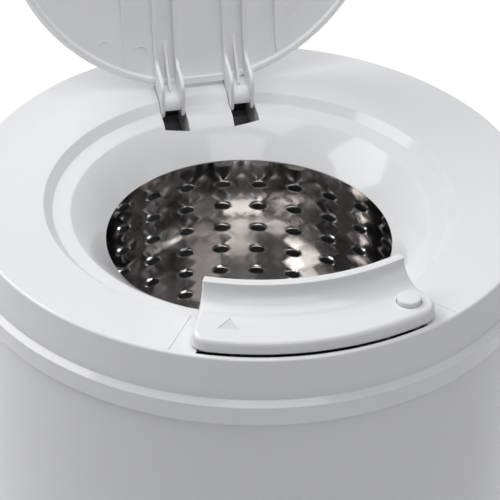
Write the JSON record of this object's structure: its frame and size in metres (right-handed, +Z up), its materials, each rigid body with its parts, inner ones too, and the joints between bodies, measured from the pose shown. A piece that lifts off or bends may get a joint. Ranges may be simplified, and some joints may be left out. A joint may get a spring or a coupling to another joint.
{
  "type": "laundry spin dryer",
  "caption": "Round top-loading laundry spin dryer: hinged lid, sliding lock lever with a release button, perforated drum turned by a motor underneath, water spout.",
  "frame": {"origin": "on the floor, under the drum's axis", "axes": "+Z up along the drum's axis; -Y towards the front, where the lock lever and the water spout are; +X to the right of someone in front of it"},
  "size_m": [0.3448, 0.3792, 0.8356],
  "materials": {
    "cover_white": "glossy moulded",
    "lid_white": "satin moulded",
    "casing_paint": "glossy paint",
    "stainless": "bright rolled",
    "steel": "zinc plated",
    "cast_aluminium": "as cast",
    "core_iron": "matt",
    "winding_copper": "lacquered wire",
    "rubber": "matt",
    "tub_plastic": "matt moulded",
    "black_plastic": "matt moulded",
    "brake_lining": "rough friction material"
  },
  "bodies": {
    "housing": {"top_cover": "cover_white", "outer_casing": "casing_paint", "base_pan": "black_plastic", "foot_rear": "rubber", "foot_left": "rubber", "foot_right": "rubber", "base_screw_1": "steel", "base_screw_2": "steel", "base_screw_3": "steel", "hinge_pin_left": "steel", "hinge_pin_right": "steel", "interlock_switch": "black_plastic", "switch_bracket": "steel", "brake_cable": "black_plastic", "inner_tub": "tub_plastic", "tub_bracket_1": "steel", "tub_bracket_2": "steel", "tub_bracket_3": "steel", "shaft_bellows": "rubber", "drain_hose": "rubber", "water_spout": "cover_white", "stator": "core_iron", "winding_upper": "winding_copper", "winding_lower": "winding_copper", "upper_end_shield": "cast_aluminium", "lower_end_shield": "cast_aluminium", "upper_bearing": "steel", "lower_bearing": "steel", "brake_bracket": "steel", "motor_carrier": "steel", "motor_mount_1": "rubber", "motor_mount_2": "rubber", "motor_mount_3": "rubber", "mount_bracket_1": "steel", "mount_bracket_2": "steel", "mount_bracket_3": "steel", "run_capacitor": "cast_aluminium", "capacitor_cup": "black_plastic", "terminal_block": "black_plastic", "mains_inlet": "black_plastic"},
    "lid": {"lid": "lid_white"},
    "lever": {"lock_lever": "cover_white", "slide_plate": "steel", "button_retainer": "black_plastic", "button_spring": "steel"},
    "button": {"release_button": "cover_white"},
    "drum": {"drum_mantle": "stainless", "drum_rim": "stainless", "drum_floor": "stainless", "drum_hub": "cast_aluminium", "hub_nut": "steel", "motor_shaft": "steel", "rotor": "core_iron", "cooling_fan": "black_plastic", "brake_drum": "core_iron"},
    "brake": {"brake_arm": "steel", "brake_lining": "brake_lining"}
  },
  "joints": [
    {"name": "lid_hinge", "type": "hinge", "parent": "housing", "child": "lid", "pos_m": [0, 0.1253, 0.5993], "axis": [1, 0, 0], "range_deg": [0, 104]},
    {"name": "lever_slide", "type": "slide", "parent": "housing", "child": "lever", "axis": [0, 1, 0], "range_m": [0, 0.012]},
    {"name": "button_press", "type": "slide", "parent": "lever", "child": "button", "axis": [0, 0, -1], "range_m": [0, 0.003], "stiffness_N_per_m": 400, "springref_m": -0.003, "deforming": ["button_spring"]},
    {"name": "drum_spin", "type": "hinge", "parent": "housing", "child": "drum", "pos_m": [0, 0, 0.4], "axis": [0, 0, 1], "continuous": true},
    {"name": "brake_swing", "type": "hinge", "parent": "housing", "child": "brake", "pos_m": [0.018, -0.064, 0.0827], "axis": [0, 0, 1], "range_deg": [0, 6]}
  ],
  "couplings": [
    {"joint": "brake_swing", "follows": "lever_slide", "rad_per_m": 8.72}
  ]
}
